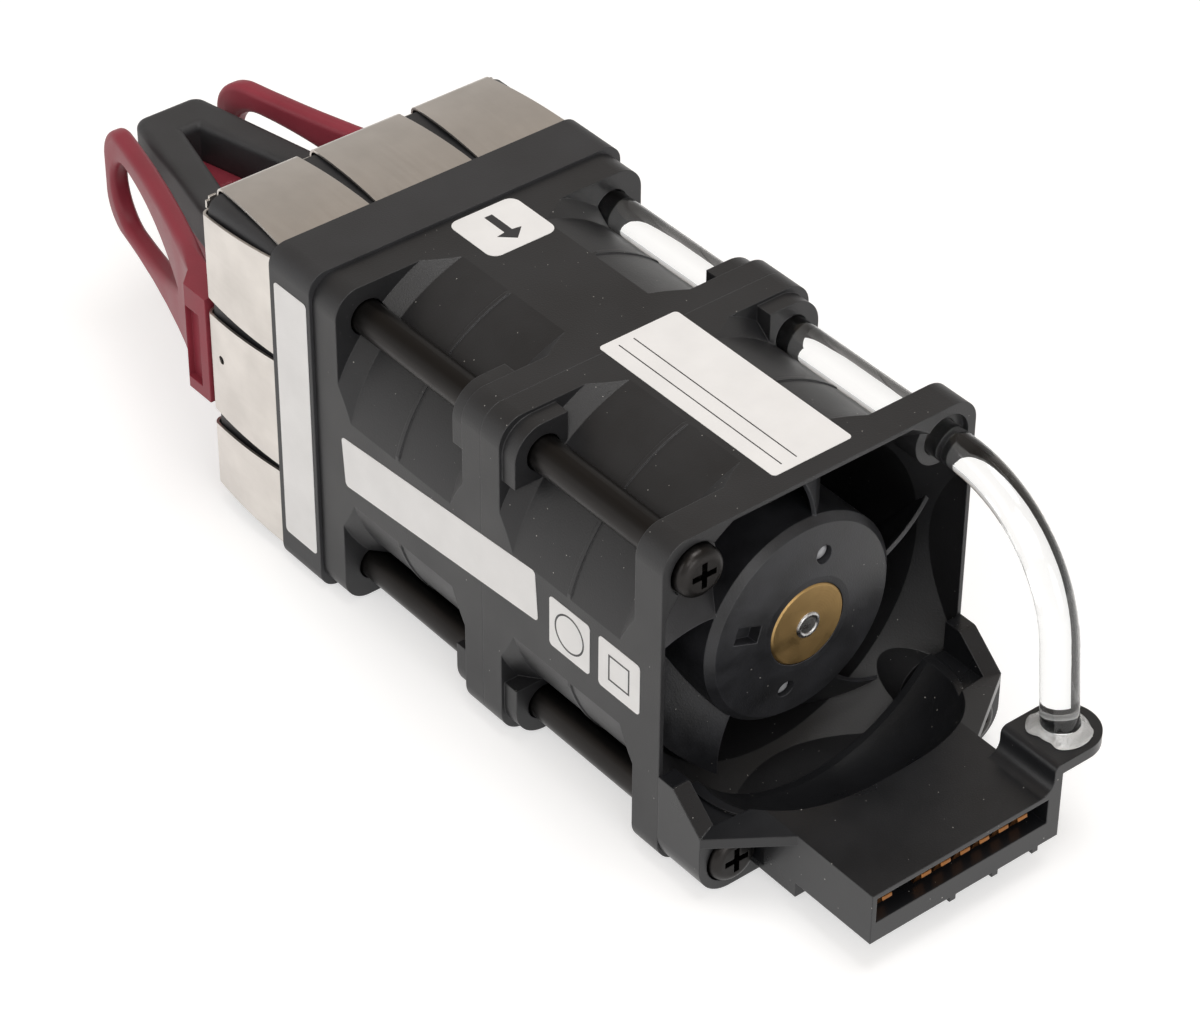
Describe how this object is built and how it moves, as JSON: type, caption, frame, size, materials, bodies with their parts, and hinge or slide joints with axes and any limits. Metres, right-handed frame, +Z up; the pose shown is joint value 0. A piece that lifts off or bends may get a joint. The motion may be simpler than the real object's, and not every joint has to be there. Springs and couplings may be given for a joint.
{
  "type": "fan module",
  "caption": "Plug-in cooling fan module: in-line axial fans behind a handle with squeeze release levers and a spring-finger gasket, with a rear connector block and a light pipe.",
  "frame": {"origin": "on the floor under the fan axis, at the joint between the front carrier and the fans", "axes": "+Y along the air path from the handle to the connector, +Z up, +X to the side with the upper screw"},
  "size_m": [0.0408, 0.1375, 0.0408],
  "materials": {
    "black_plastic": "moulded, fine texture",
    "grey_plastic": "moulded, fine texture",
    "burgundy_plastic": "moulded, satin",
    "clear_plastic": "polished clear",
    "stainless": "rolled sheet",
    "steel": "ground",
    "core_steel": "laminated",
    "magnet": "moulded magnet",
    "black_steel": "black oxide",
    "brass": "turned",
    "copper": "enamelled wire",
    "contact_gold": "plated",
    "board": "coated"
  },
  "bodies": {
    "module": {"front_fan_housing": "black_plastic", "front_fan_outer_bearing": "steel", "front_fan_inner_bearing": "steel", "front_fan_bearing_tube": "brass", "front_fan_stator_core": "core_steel", "front_fan_stator_windings": "copper", "front_fan_motor_board": "board", "rear_fan_housing": "black_plastic", "rear_fan_outer_bearing": "steel", "rear_fan_inner_bearing": "steel", "rear_fan_bearing_tube": "brass", "rear_fan_stator_core": "core_steel", "rear_fan_stator_windings": "copper", "rear_fan_motor_board": "board", "front_carrier": "black_plastic", "upper_grille": "black_steel", "lower_grille": "black_steel", "emi_gasket": "stainless", "handle": "grey_plastic", "handle_insert": "burgundy_plastic", "left_lever_pin": "steel", "right_lever_pin": "steel", "left_lever_spring": "steel", "right_lever_spring": "steel", "long_screws": "black_steel", "connector_bracket": "black_plastic", "connector_contacts": "contact_gold", "light_pipe": "clear_plastic"},
    "front_rotor": {"front_fan_impeller": "black_plastic", "front_fan_rotor_yoke": "steel", "front_fan_ring_magnet": "magnet", "front_fan_shaft_boss": "brass", "front_fan_shaft": "steel", "front_fan_shaft_clip": "steel"},
    "rear_rotor": {"rear_fan_impeller": "black_plastic", "rear_fan_rotor_yoke": "steel", "rear_fan_ring_magnet": "magnet", "rear_fan_shaft_boss": "brass", "rear_fan_shaft": "steel", "rear_fan_shaft_clip": "steel"},
    "left_lever": {"left_release_lever": "burgundy_plastic"},
    "right_lever": {"right_release_lever": "burgundy_plastic"}
  },
  "joints": [
    {"name": "front_rotor_spin", "type": "hinge", "parent": "module", "child": "front_rotor", "pos_m": [0, 0.014, 0.0204], "axis": [0, 1, 0], "continuous": true},
    {"name": "rear_rotor_spin", "type": "hinge", "parent": "module", "child": "rear_rotor", "pos_m": [0, 0.042, 0.0204], "axis": [0, 1, 0], "continuous": true},
    {"name": "left_lever_squeeze", "type": "hinge", "parent": "module", "child": "left_lever", "pos_m": [0.0158, -0.012, 0.0196], "axis": [0, 0, -1], "range_deg": [0, 2], "stiffness_Nm_per_rad": 2.5, "springref_deg": -1.15},
    {"name": "right_lever_squeeze", "type": "hinge", "parent": "module", "child": "right_lever", "pos_m": [-0.0158, -0.012, 0.0196], "axis": [0, 0, 1], "range_deg": [0, 2], "stiffness_Nm_per_rad": 2.5, "springref_deg": -1.15}
  ]
}
